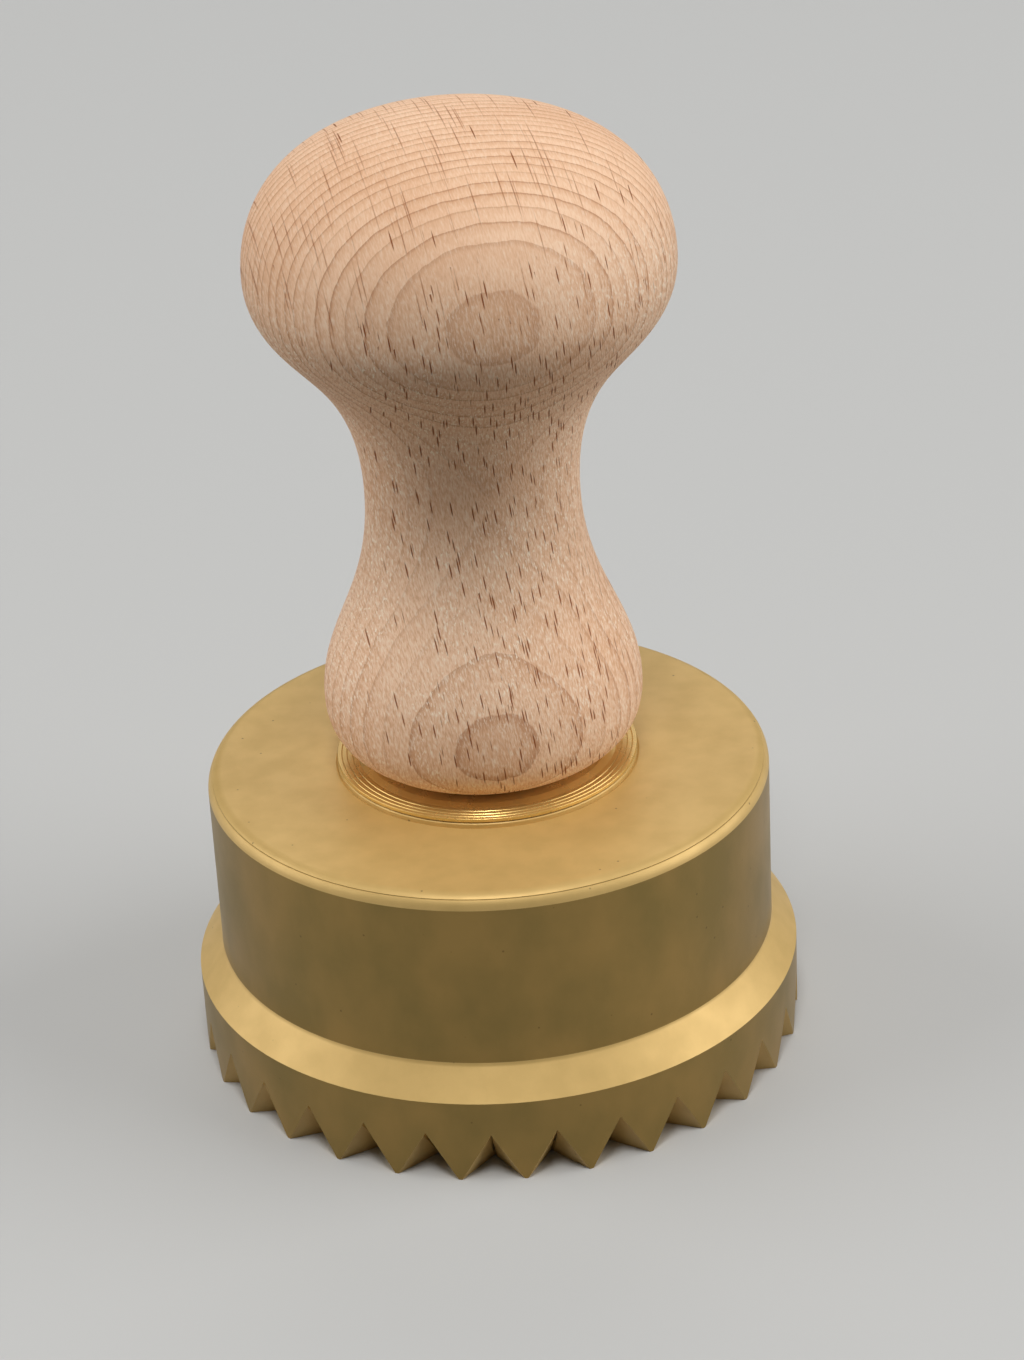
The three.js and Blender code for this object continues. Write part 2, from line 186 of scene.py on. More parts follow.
@dataclass(frozen=True)
class Beech:
    """Turned and sanded beech, unvarnished: pale pinkish tan, growth rings, short dark ray flecks.

    The rings lie across the depth of the picture, so they close into loops on the two bulges that
    face the viewer. Rays are thin blades: short strokes on the front, cross lines on the crown.
    """

    pale: str = "#f0c8a6"
    late_wood: str = "#c68f66"
    ring_line: str = "#9c5e36"
    fleck: str = "#84420a"
    blush: str = "#deae88"
    fuzz_and_glint: str = "#fdebd4"
    blush_size: float = 18 * MM
    ring_turn: Cell = (0.009, 0.2, -0.215)
    first_ring: float = -21.8 * MM
    front_spacing: float = 1.8 * MM
    ring_spacing: float = 1.13 * MM
    ring_wander: float = 0.7 * MM
    wander_size: float = 13 * MM
    ring_ripple: float = 0.22 * MM
    ripple_size: float = 1.5 * MM
    twist: float = -2.0
    twist_height: float = 81 * MM
    foot_spread: float = 0.611
    foot_heights: Span = (48 * MM, 76 * MM)
    uneven_years: float = 1.6 * MM
    uneven_depths: Span = (5 * MM, 11 * MM)
    weather_size: float = 4 * MM
    year_lots: Span = (0.0, 0.8)
    year_strength: Span = (0.4, 1.0)
    late_season: Span = (0.35, 1.0)
    line_season: Span = (0.84, 0.97)
    line_end: float = 0.02
    waist_height: float = 57 * MM
    waist_reach: Span = (6 * MM, 18 * MM)
    waist_rings: float = 0.35
    plain_foot: Span = (48 * MM, 62 * MM)
    foot_rings: float = 0.8
    fibre_turn: Cell = (0.009, 0.13, -0.215)
    fleck_cell: Cell = (0.25 * MM, 6 * MM, 2.8 * MM)
    fleck_reach: Span = (0.2, 0.33)
    broadside: Span = (0.75, 0.95)
    broadside_fade: Span = (1.0, 0.25)
    crowd_size: float = 9 * MM
    crowd: Span = (0.36, 0.6)
    crowd_share: Span = (0.4, 0.58)
    flat_sawn: Span = (-4.5 * MM, 2.5 * MM)
    flat_sawn_share: Span = (0.12, 1.0)
    fleck_heights: Span = (79 * MM, 88 * MM)
    fleck_fade: Span = (1.0, 0.06)
    ray_cell: Cell = (0.24 * MM, 14 * MM, 7 * MM)
    ray_reach: Span = (0.1, 0.36)
    ray_heights: Span = (79 * MM, 89 * MM)
    ray_share: Span = (0.0, 0.95)
    ray_sides: Span = (-12 * MM, 12 * MM)
    ray_side_fade: Span = (1.0, 0.45)
    # Fibres and torn fibres are drawn coarser than real ones, which are too fine to show.
    fibre_cell: Cell = (0.13 * MM, 0.9 * MM, 0.6 * MM)
    fibre_fade: Span = (1.0, 0.45)
    nap_cell: Cell = (0.16 * MM, 0.3 * MM, 0.6 * MM)
    nap_strokes: Span = (0.57, 0.68)
    nap_patch: float = 10 * MM
    nap_worn: Span = (0.38, 0.57)
    nap_share: Span = (0.2, 1.0)
    nap_fade: Span = (1.0, 0.15)
    smooth_heights: Span = (79 * MM, 87 * MM)
    fleck_relief: float = -0.5
    relief_depth: float = 0.06 * MM
    relief_strength: float = 0.7
    roughness: float = 0.62
    ior: float = 1.45
    gloss: float = 0.15

    def material(self) -> Material:
        """Builds the shader.

        Returns:
            The material.
        """
        tree = Tree("beech_turned_and_sanded")
        place = tree.add(Node.PLACE, out="Object")
        rings = tree.add(Node.MAPPING, {"Vector": place, "Rotation": self.ring_turn})
        grain = tree.add(Node.MAPPING, {"Vector": place, "Rotation": self.fibre_turn})
        wood = BeechGrain(self, tree, rings, grain)
        late, line = wood.ring_shades()
        flecks, rays, fibre, torn_fibre_glints = wood.flecks(), wood.rays(), wood.fibre(), wood.torn_fibre_glints()
        patch = tree.add(Node.NOISE, {"Vector": grain, "Scale": 1 / self.blush_size, "Detail": 2.0})
        # Each layer has its pattern, its colour, the pattern's values from none to full, and its most.
        layers = (
            (patch, self.blush, (0.4, 0.7), 0.6),
            (late, self.late_wood, WHOLE, 0.58),
            (line, self.ring_line, WHOLE, 0.46),
            (rays, self.ring_line, WHOLE, 0.8),
            (fibre, self.fuzz_and_glint, (0.5, 0.75), 0.65),
            (fibre, self.late_wood, (0.5, 0.25), 0.65),
            # Torn fibres are drawn paler than the wood: real fibres with painted glints of light on them.
            (torn_fibre_glints, self.fuzz_and_glint, WHOLE, 0.9),
            (flecks, self.fleck, WHOLE, 0.92),
        )
        colour = to_linear(self.pale)
        for pattern, tint, span, most in layers:
            level = tree.add(Node.RANGE, (pattern, *span, 0.0, most))
            colour = tree.add(Node.MIX, {0: level, 6: colour, 7: to_linear(tint)}, 2, data_type="RGBA")
        relief = tree.add(Node.MATH, (flecks, self.fleck_relief, fibre), operation="MULTIPLY_ADD")
        bump = tree.add(Node.BUMP, {"Height": relief, "Distance": self.relief_depth,
                                    "Strength": self.relief_strength})
        return tree.finish({"Base Color": colour, "Normal": bump, "Roughness": self.roughness,
                            "IOR": self.ior, "Specular IOR Level": self.gloss})


@dataclass(frozen=True)
class BeechGrain:
    """The patterns of beech, drawn in the axes of its rings and of its grain."""

    look: Beech
    tree: Tree
    rings: Socket
    grain: Socket

    def ring_shades(self) -> tuple[Socket, Socket]:
        """Shades each year: late wood that darkens, and a line where the year ends.

        Returns:
            The shares of late wood and of the line.
        """
        look, tree = self.look, self.tree
        season, strength = self._season()
        late = tree.add(Node.RANGE, (season, *look.late_season, 0.0, 1.0))
        ending = tree.add(Node.RANGE, (season, *look.line_season, 0.0, 1.0))
        opening = tree.add(Node.RANGE, (season, 0.0, look.line_end, 1.0, 0.0))
        line = tree.add(Node.MATH, (ending, opening), operation="MAXIMUM")
        clear = tree.add(Node.MATH, (self._ring_contrast(), strength), operation="MULTIPLY")
        return (tree.add(Node.MATH, (late, clear), operation="MULTIPLY"),
                tree.add(Node.MATH, (line, clear), operation="MULTIPLY"))

    def _season(self) -> tuple[Socket, Socket]:
        """Counts the growth rings from front to back, with wider years in front of the first one.

        Returns:
            The share of the year that has passed, from 0 to 1, and how strong that year's colour is.
        """
        look, tree = self.look, self.tree
        depth = self._bent_depth()
        inward = tree.add(Node.MATH, (depth, look.first_ring), operation="SUBTRACT")
        back = tree.add(Node.MATH, (inward, 0.0), operation="MAXIMUM")
        spread = self._along(self.rings, "Z", look.foot_heights, (look.foot_spread, 1.0))
        behind = tree.add(Node.MATH, (back, spread), operation="MULTIPLY")
        before = tree.add(Node.MATH, (inward, 0.0), operation="MINIMUM")
        wide = tree.add(Node.MATH, (before, look.front_spacing), operation="DIVIDE")
        weather = tree.add(Node.NOISE, {"W": depth, "Scale": 1 / look.weather_size, "Detail": 1.0},
                           noise_dimensions="1D")
        luck = tree.add(Node.MATH, (weather, -0.5))
        reach = tree.add(Node.RANGE, (behind, *look.uneven_depths, 0.0, look.uneven_years))
        grown = tree.add(Node.MATH, (luck, reach, behind), operation="MULTIPLY_ADD")
        years = tree.add(Node.MATH, (grown, 1 / look.ring_spacing, wide), operation="MULTIPLY_ADD")
        number = tree.add(Node.MATH, (years,), operation="FLOOR")
        lot = tree.add(Node.LOTS, {"W": number}, noise_dimensions="1D")
        strength = tree.add(Node.RANGE, (lot, *look.year_lots, *look.year_strength))
        return tree.add(Node.MATH, (years,), operation="FRACT"), strength

    def _bent_depth(self) -> Socket:
        """Bends the rings: wound a little from head to foot, bowed by growth and finely rippled.

        Returns:
            The depth across the rings.
        """
        look, tree, rings = self.look, self.tree, self.rings
        wander = tree.add(Node.NOISE, {"Vector": rings, "Scale": 1 / look.wander_size, "Detail": 5.0,
                                       "Roughness": 0.72})
        middle = tree.add(Node.MATH, (wander, -0.5))
        across, depth, height = tree.add(Node.SPLIT, (rings,)).node.outputs
        above = tree.add(Node.MATH, (height, look.twist_height), operation="SUBTRACT")
        wind = tree.add(Node.MATH, (above, look.twist), operation="MULTIPLY")
        turned = tree.add(Node.MATH, (wind, across, depth), operation="MULTIPLY_ADD")
        bowed = tree.add(Node.MATH, (middle, look.ring_wander, turned), operation="MULTIPLY_ADD")
        ripple = tree.add(Node.NOISE, {"Vector": rings, "Scale": 1 / look.ripple_size, "Detail": 2.0})
        uneven = tree.add(Node.MATH, (ripple, -0.5))
        return tree.add(Node.MATH, (uneven, look.ring_ripple, bowed), operation="MULTIPLY_ADD")

    def _ring_contrast(self) -> Socket:
        """Fades the rings at the waist, where the surface runs along them and shows each one spread out.

        Returns:
            The rings' share, from faint to 1.
        """
        look, tree = self.look, self.tree
        height = tree.add(Node.SPLIT, (self.rings,), "Z")
        away = tree.add(Node.MATH, (height, look.waist_height), operation="SUBTRACT")
        distance = tree.add(Node.MATH, (away,), operation="ABSOLUTE")
        faded = tree.add(Node.RANGE, (distance, *look.waist_reach, look.waist_rings, 1.0))
        foot = self._along(self.rings, "Z", look.plain_foot, (look.foot_rings, 1.0))
        return tree.add(Node.MATH, (faded, foot), operation="MULTIPLY")

    def flecks(self) -> Socket:
        """Draws the short flecks, dark where rays are cut end on: broadside ones are pale and lustrous.

        Returns:
            1 inside a fleck and 0 between them.
        """
        look, tree = self.look, self.tree
        blades = self._blades(look.fleck_cell, look.fleck_reach, self._crowding())
        normal = tree.add(Node.SURFACE, out="True Normal")
        facing = tree.add(Node.SPLIT, (normal,), "X")
        broadside = tree.add(Node.MATH, (facing,), operation="ABSOLUTE")
        end_on = tree.add(Node.RANGE, (broadside, *look.broadside, *look.broadside_fade))
        return tree.add(Node.MATH, (blades, end_on), operation="MULTIPLY")

    def _crowding(self) -> Socket:
        """Gives the share of cells that hold a fleck: more on the flat-sawn side, fewer on the crown.

        Returns:
            The share.
        """
        look, tree = self.look, self.tree
        crowd = tree.add(Node.NOISE, {"Vector": self.grain, "Scale": 1 / look.crowd_size, "Detail": 1.0})
        patch = tree.add(Node.RANGE, (crowd, *look.crowd, *look.crowd_share))
        side = self._along(self.grain, "X", look.flat_sawn, look.flat_sawn_share)
        crown = self._along(self.grain, "Z", look.fleck_heights, look.fleck_fade)
        flat = tree.add(Node.MATH, (patch, side), operation="MULTIPLY")
        return tree.add(Node.MATH, (flat, crown), operation="MULTIPLY")

    def rays(self) -> Socket:
        """Draws the long rays, which show on the crown, cut across the grain.

        Returns:
            1 inside a ray and 0 between them.
        """
        look = self.look
        crown = self._along(self.grain, "Z", look.ray_heights, look.ray_share)
        side = self._along(self.grain, "X", look.ray_sides, look.ray_side_fade)
        share = self.tree.add(Node.MATH, (crown, side), operation="MULTIPLY")
        return self._blades(look.ray_cell, look.ray_reach, share)

    def fibre(self) -> Socket:
        """Draws the fine fibre, rough on the sides and smoother on the crown.

        Returns:
            The fibre's height, about 0.5.
        """
        look, tree = self.look, self.tree
        place = tree.add(Node.MAPPING, {"Vector": self.grain, "Scale": per_metre(look.fibre_cell)})
        rough = tree.add(Node.NOISE, {"Vector": place, "Scale": 1.0, "Detail": 4.0})
        most = self._along(self.grain, "Z", look.smooth_heights, look.fibre_fade)
        swing = tree.add(Node.MATH, (rough, -0.5))
        return tree.add(Node.MATH, (swing, most, 0.5), operation="MULTIPLY_ADD")

    def torn_fibre_glints(self) -> Socket:
        """Scatters torn fibres as short pale strokes in patches below the crown, a painted glint where they
        catch the light.

        Returns:
            1 on a torn fibre and 0 between them.
        """
        look, tree = self.look, self.tree
        place = tree.add(Node.MAPPING, {"Vector": self.grain, "Scale": per_metre(look.nap_cell)})
        torn = tree.add(Node.NOISE, {"Vector": place, "Scale": 1.0, "Detail": 2.0})
        stroke = tree.add(Node.RANGE, (torn, *look.nap_strokes, 0.0, 1.0))
        patch = tree.add(Node.NOISE, {"Vector": self.grain, "Scale": 1 / look.nap_patch, "Detail": 2.0})
        worn = tree.add(Node.RANGE, (patch, *look.nap_worn, *look.nap_share))
        most = self._along(self.grain, "Z", look.smooth_heights, look.nap_fade)
        rough = tree.add(Node.MATH, (worn, most), operation="MULTIPLY")
        return tree.add(Node.MATH, (stroke, rough), operation="MULTIPLY")

    def _along(self, place: Socket, axis: str, span: Span, shares: Span) -> Socket:
        """Gives a share that changes along one axis of the wood.

        Args:
            place: The place in the axes of the rings or of the grain.
            axis: The axis, X, Y or Z.
            span: Where the change starts and ends.
            shares: The shares there.

        Returns:
            The share.
        """
        value = self.tree.add(Node.SPLIT, (place,), axis)
        return self.tree.add(Node.RANGE, (value, *span, *shares))

    def _blades(self, cell: Cell, reach: Span, share: Socket) -> Socket:
        """Draws scattered thin blades, one in each chosen cell.

        Args:
            cell: The size of a blade's cell across, into and along the grain.
            reach: Reach of a blade's full depth and of its edge, in cells.
            share: The share of cells that hold a blade.

        Returns:
            1 inside a blade and 0 between them.
        """
        tree = self.tree
        place = tree.add(Node.MAPPING, {"Vector": self.grain, "Scale": per_metre(cell)})
        distance = tree.add(Node.CELLS, {"Vector": place, "Scale": 1.0}, "Distance")
        near = tree.add(Node.RANGE, (distance, *reach, 1.0, 0.0))
        lot = tree.add(Node.CHANNELS, (distance.node.outputs["Color"],), "Red")
        chosen = tree.add(Node.MATH, (lot, share), operation="LESS_THAN")
        return tree.add(Node.MATH, (near, chosen), operation="MULTIPLY")


@dataclass(frozen=True)
class TurnedBrass:
    """Brass off the lathe, satin, a little dulled by air and hands: mottled, with fine turning lines.

    A thin skin of oxide scatters the light, so the finish is set as part metal and part matte.
    """

    name: str = "brass_turned_satin"
    bright: str = "#d5b26e"
    dulled: str = "#ccaa67"
    pit: str = "#5f4a26"
    mottle: float = 3 * MM
    drawn: float = 1.0
    dulled_clouds: Span = (0.35, 0.65)
    rough_clouds: Span = (0.3, 0.7)
    turning_pitch: float = 0.22 * MM
    skin_grain: float = 0.35 * MM
    skin_relief: float = 0.8
    pit_spacing: float = 2.4 * MM
    pit_reach: Span = (0.03, 0.06)
    pit_share: float = 0.6
    pit_relief: float = -1.5
    relief_depth: float = 0.01 * MM
    relief_strength: float = 0.5
    roughness: Span = (0.45, 0.51)
    metallic: float = 0.33

    def material(self) -> Material:
        """Builds the shader.

        Returns:
            The material.
        """
        tree = Tree(self.name)
        place = tree.add(Node.PLACE, out="Object")
        clouds = tree.add(Node.MAPPING, {"Vector": place, "Scale": (1, 1, 1 / self.drawn)})
        cloud = tree.add(Node.NOISE, {"Vector": clouds, "Scale": 1 / self.mottle, "Detail": 5.0})
        pits = tree.add(Node.CELLS, {"Vector": place, "Scale": 1 / self.pit_spacing}, "Distance")
        pitted = tree.add(Node.RANGE, (pits, *self.pit_reach, self.pit_share, 0.0))
        level = tree.add(Node.RANGE, (cloud, *self.dulled_clouds, 0.0, 1.0))
        bright, dulled, pit = (to_linear(colour) for colour in (self.bright, self.dulled, self.pit))
        skin = tree.add(Node.MIX, {0: level, 6: bright, 7: dulled}, 2, data_type="RGBA")
        colour = tree.add(Node.MIX, {0: pitted, 6: skin, 7: pit}, 2, data_type="RGBA")
        rough = tree.add(Node.RANGE, (cloud, *self.rough_clouds, *self.roughness))
        bump = tree.add(Node.BUMP, {"Height": self._relief(tree, place, pitted),
                                    "Distance": self.relief_depth, "Strength": self.relief_strength})
        return tree.finish({"Base Color": colour, "Roughness": rough, "Normal": bump,
                            "Metallic": self.metallic})

    def _relief(self, tree: Tree, place: Socket, pitted: Socket) -> Socket:
        """Cuts fine turning lines, a grained skin and sunk pits.

        Args:
            tree: The material's tree.
            place: The place on the piece.
            pitted: The share of the pits.

        Returns:
            The height.
        """
        fine = tree.add(Node.NOISE, {"Vector": place, "Scale": 1 / self.skin_grain, "Detail": 2.0})
        across, depth, height = tree.add(Node.SPLIT, (place,)).node.outputs
        flat = tree.add(Node.JOIN, (across, depth))
        radius = tree.add(Node.VECTOR_MATH, (flat,), "Value", operation="LENGTH")
        along = tree.add(Node.MATH, (radius, height))
        lathe = tree.add(Node.NOISE, {"W": along, "Scale": 1 / self.turning_pitch, "Detail": 2.0},
                         noise_dimensions="1D")
        grained = tree.add(Node.MATH, (fine, self.skin_relief, lathe), operation="MULTIPLY_ADD")
        return tree.add(Node.MATH, (pitted, self.pit_relief, grained), operation="MULTIPLY_ADD")


@dataclass(frozen=True)
class DrawnSteel:
    """Stainless bar and wire, drawn through a die: even grey with faint lines along its length."""

    colour: str = "#b9bdc1"
    shade: str = "#9a9ea3"
    line: Cell = (0.15 * MM, 0.15 * MM, 6 * MM)
    line_depth: float = 0.006 * MM
    line_strength: float = 0.4
    roughness: float = 0.3

    def material(self) -> Material:
        """Builds the shader.

        Returns:
            The material.
        """
        tree = Tree("stainless_steel_drawn")
        place = tree.add(Node.PLACE, out="Object")
        drawn = tree.add(Node.MAPPING, {"Vector": place, "Scale": per_metre(self.line)})
        lines = tree.add(Node.NOISE, {"Vector": drawn, "Scale": 1.0, "Detail": 2.0})
        pale, dark = to_linear(self.colour), to_linear(self.shade)
        colour = tree.add(Node.MIX, {0: lines, 6: pale, 7: dark}, 2, data_type="RGBA")
        bump = tree.add(Node.BUMP, {"Height": lines, "Distance": self.line_depth,
                                    "Strength": self.line_strength})
        return tree.finish({"Base Color": colour, "Normal": bump, "Metallic": 1.0,
                            "Roughness": self.roughness})


@dataclass
class Outline:
    """A profile of radius and height, drawn point by point before it is spun."""

    points: list[Point] = field(default_factory=list)

    def to(self, *points: Point) -> "Outline":
        """Goes on in straight lines through the points."""
        self.points.extend(points)
        return self

    def rounded(self, corner: Point, onward: Point, radius: float, steps: int = 5) -> "Outline":
        """Goes on to a corner and round it.

        Args:
            corner: The sharp corner.
            onward: A point on the line after it.
            radius: The fillet's radius.
            steps: Segments of the fillet.

        Returns:
            This outline.
        """
        apex = Vector(corner)
        back = (Vector(self.points[-1]) - apex).normalized()
        ahead = (Vector(onward) - apex).normalized()
        half = back.angle(ahead) / 2
        reach = radius / math.tan(half)
        centre = apex + (back + ahead).normalized() * (radius / math.sin(half))
        first = apex + back * reach - centre
        sweep = first.angle_signed(apex + ahead * reach - centre)
        for step in range(steps + 1):
            turned = first.copy()
            turned.rotate(Matrix.Rotation(-sweep * step / steps, 2))
            self.points.append(tuple(centre + turned))
        return self

    def curve(self, start_pull: Point, end_pull: Point, end: Point, steps: int) -> "Outline":
        """Goes on along a Bezier curve from the last point.

        Args:
            start_pull: The control point beside the start.
            end_pull: The control point beside the end.
            end: The curve's end.
            steps: Segments of the curve.

        Returns:
            This outline.
        """
        knots = [Vector((*p, 0)) for p in (self.points[-1], start_pull, end_pull, end)]
        path = geometry.interpolate_bezier(*knots, steps + 1)
        self.points.extend((p.x, p.y) for p in path[1:])
        return self

    def draw(self, mesh: Mesh, closed: bool) -> list[bmesh.types.BMEdge]:
        """Puts the outline into a mesh, in the plane towards the viewer.

        Args:
            mesh: The mesh.
            closed: Whether the last point joins the first.

        Returns:
            The edges.
        """
        verts = [mesh.verts.new((0, -radius, height)) for radius, height in self.points]
        pairs = list(zip(verts, verts[1:]))
        if closed:
            pairs.append((verts[-1], verts[0]))
        return [mesh.edges.new(pair) for pair in pairs]


def everything(mesh: Mesh) -> list[bmesh.types.BMVert | bmesh.types.BMEdge | bmesh.types.BMFace]:
    """Lists a mesh's vertices, edges and faces for an operator."""
    return mesh.verts[:] + mesh.edges[:] + mesh.faces[:]


def spin_outline(outline: Outline, steps: int, closed: bool) -> Mesh:
    """Spins an outline once round the stamp's axis.

    Args:
        outline: The profile.
        steps: Segments of the turn.
        closed: Whether the profile closes on itself.

    Returns:
        The closed mesh.
    """
    mesh = bmesh.new()
    edges = outline.draw(mesh, closed)
    verts = list({vert for edge in edges for vert in edge.verts})
    bmesh.ops.spin(mesh, geom=verts + edges, axis=UP, cent=ORIGIN, angle=FULL_TURN, steps=steps,
                   use_merge=True)
    return mesh


def finish_piece(name: str, mesh: Mesh, materials: tuple[Material, ...], body: Body,
                 replaced: str, edge_width: float = 0.0) -> Piece:
    """Closes a mesh, makes it an object and puts it in the place of its solid.

    Args:
        name: The piece's name.
        mesh: The mesh, which is freed.
        materials: Its finishes, in the order of the faces' material numbers.
        body: The body that it moves with.
        replaced: The solid that it stands for.
        edge_width: Width of the broken edges, or 0 for none.

    Returns:
        The object.
    """
    bmesh.ops.remove_doubles(mesh, verts=mesh.verts, dist=MERGE_DISTANCE)
    bmesh.ops.recalc_face_normals(mesh, faces=mesh.faces)
    data = bpy.data.meshes.new(name)
    mesh.to_mesh(data)
    mesh.free()
    data.shade_smooth()
    data.set_sharp_from_angle(angle=SHARP_ANGLE)
    for material in materials:
        data.materials.append(material)
    piece = bpy.data.objects.new(name, data)
    bpy.context.scene.collection.objects.link(piece)
    if edge_width:
        broken = piece.modifiers.new("broken_edges", "BEVEL")
        broken.width = edge_width
        broken.segments = 2
        broken.limit_method = "ANGLE"
        broken.angle_limit = SHARP_ANGLE
        broken.harden_normals = True
    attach(piece, body.value)
    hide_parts(replaced)
    log.info("%s: %d faces on %s", name, len(data.polygons), body.value)
    return piece


@dataclass
class Die:
    """The turned brass cup with its bevelled flange and toothed rim."""

    wall_radius: float = 27.55 * MM
    bore_radius: float = 23.5 * MM
    skirt: float = 8.65 * MM
    wall_foot: float = 11.5 * MM
    top: float = 29.65 * MM
    ceiling: float = 26.65 * MM
    pad_radius: float = 14.7 * MM
    hole_radius: float = 6.12 * MM
    rim_fillet: float = 1.5 * MM
    rim_cut: float = 44.0
    rim_cut_half: float = 2.0
    tool_mark: float = 0.05 * MM
    bevel_fillet: float = 0.8 * MM
    ceiling_fillet: float = 1.5 * MM
    fillet_steps: int = 8
    edge: float = 0.4 * MM
    broken_edge: float = 0.07 * MM
    seam: float = 0.1 * MM
    teeth: int = 30
    notch_height: float = 5.13 * MM
    notch_run: float = 4.2 * MM
    tip_land: float = 0.3 * MM
    root_round: float = 0.3 * MM
    steps_per_flank: int = 6
    upright: float = 0.99

    def build(self, cut: Material, skin: Material) -> Piece:
        """Models the die.

        Args:
            cut: The finish of its cut faces.
            skin: The finish of its upright outer walls, a darker brass that is painted shade.

        Returns:
            The object.
        """
        low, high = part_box("die_body")
        flange = (high[0] - low[0]) / 2
        mesh = self._half_tooth(flange, high[2])
        bmesh.ops.mirror(mesh, geom=everything(mesh), axis="X", merge_dist=MERGE_DISTANCE)
        self._round_root(mesh, flange)
        others = self.teeth - 1
        bmesh.ops.spin(mesh, geom=everything(mesh), axis=UP, cent=ORIGIN,
                       angle=FULL_TURN * others / self.teeth, steps=others, use_duplicate=True)
        self._mark_painted_shade(mesh)
        return finish_piece("die", mesh, (cut, skin), Body.STAMP, "die_body",
                            self.broken_edge)

    def _mark_painted_shade(self, mesh: Mesh) -> None:
        """Gives the upright outer faces of wall and skirt the second finish, a darker brass that is painted
        shade.

        Args:
            mesh: The whole die.
        """
        mesh.normal_update()
        for face in mesh.faces:
            outward = face.calc_center_median() * Vector((1, 1, 0))
            upright = abs(face.normal.dot(outward.normalized())) > self.upright
            face.material_index = int(upright and outward.length > self.bore_radius + self.edge)

    def _outline(self, flange: float, pad_top: float) -> Outline:
        """Draws the section of the cup, once round its wall.

        Args:
            flange: The flange's radius.
            pad_top: The height of the pad under the collar.

        Returns:
            The closed section.
        """
        inner = self.bore_radius + self.edge
        outline = Outline([(inner, 0), (flange, 0), (flange, self.skirt)])
        outline.rounded((self.wall_radius, self.wall_foot), (self.wall_radius, self.top), self.bevel_fillet,
                        self.fillet_steps)
        self._rim(outline)
        outline.to((self.pad_radius + 2 * self.seam, self.top), (self.pad_radius, self.top - self.seam))
        outline.to((self.pad_radius, pad_top - self.seam))
        outline.to((self.pad_radius - self.seam, pad_top), (self.hole_radius, pad_top))
        outline.to((self.hole_radius, self.ceiling))
        outline.rounded((self.bore_radius, self.ceiling), (self.bore_radius, 0), self.ceiling_fillet,
                        self.fillet_steps)
        return outline.to((self.bore_radius, self.edge))

    def _rim(self, outline: Outline) -> None:
        """Turns the rim in two cuts that leave a fine line between them.

        Args:
            outline: The section, drawn up to the wall.
        """
        steps = self.fillet_steps
        lower, upper = self.rim_cut + self.rim_cut_half, self.rim_cut - self.rim_cut_half
        outline.to(*(self._on_rim(90 + (lower - 90) * step / steps) for step in range(steps + 1)))
        outline.to(self._on_rim(self.rim_cut, self.tool_mark))
        outline.to(*(self._on_rim(upper * (steps - step) / steps) for step in range(steps + 1)))

    def _on_rim(self, degrees: float, depth: float = 0.0) -> Point:
        """Gives a point on the rim's round.

        Args:
            degrees: The angle from the flat top.
            depth: How far the point lies below the round.

        Returns:
            The point.
        """
        turn = math.radians(degrees)
        reach = self.rim_fillet - depth
        return (self.wall_radius - self.rim_fillet + reach * math.sin(turn),
                self.top - self.rim_fillet + reach * math.cos(turn))

    def _valley(self, flange: float) -> tuple[Vector, Vector]:
        """Gives the ends of a notch's root, at the flange and where it runs out below."""
        return Vector((0, -flange, self.notch_height)), Vector((0, -flange + self.notch_run, 0))

    def _round_root(self, mesh: Mesh, flange: float) -> None:
        """Rounds the valley between the two flanks, as the milling cutter leaves it.

        Args:
            mesh: One tooth's share of the die.
            flange: The flange's radius.
        """
        verts = [min(mesh.verts, key=lambda vert: (vert.co - end).length) for end in self._valley(flange)]
        bmesh.ops.bevel(mesh, geom=[mesh.edges.get(verts)], offset=self.root_round,
                        segments=self.fillet_steps, profile=0.5, affect="EDGES", material=-1)

    def _half_tooth(self, flange: float, pad_top: float) -> Mesh:
        """Spins half a tooth's share of the cup and cuts it along the flank of the notch.

        Args:
            flange: The flange's radius.
            pad_top: The height of the pad under the collar.

        Returns:
            The open mesh from the middle of a notch to the middle of a tooth.
        """
        half_pitch = math.pi / self.teeth
        mesh = bmesh.new()
        edges = self._outline(flange, pad_top).draw(mesh, closed=True)
        bmesh.ops.spin(mesh, geom=mesh.verts[:] + edges, axis=UP, cent=ORIGIN, angle=half_pitch,
                       steps=self.steps_per_flank)
        bmesh.ops.remove_doubles(mesh, verts=mesh.verts, dist=MERGE_DISTANCE)
        root, run_out = self._valley(flange)
        across = flange * math.sin(half_pitch) - self.tip_land / 2
        tip = Vector((across, -math.sqrt(flange ** 2 - across ** 2), 0))
        normal = (run_out - root).cross(tip - root).normalized()
        if normal.dot(Vector((0, -flange, 0)) - root) < 0:
            normal.negate()
        cut = bmesh.ops.bisect_plane(mesh, geom=everything(mesh), plane_co=root, plane_no=normal,
                                     dist=MERGE_DISTANCE, clear_outer=True)["geom_cut"]
        verts = [item for item in cut if isinstance(item, bmesh.types.BMVert)]
        ends = [min(verts, key=lambda vert: (vert.co - end).length) for end in (root, run_out)]
        if mesh.edges.get(ends) is None:
            mesh.edges.new(ends)
        rim = [edge for edge in mesh.edges if all(vert in verts for vert in edge.verts)]
        bmesh.ops.edgenet_fill(mesh, edges=rim)
        return mesh


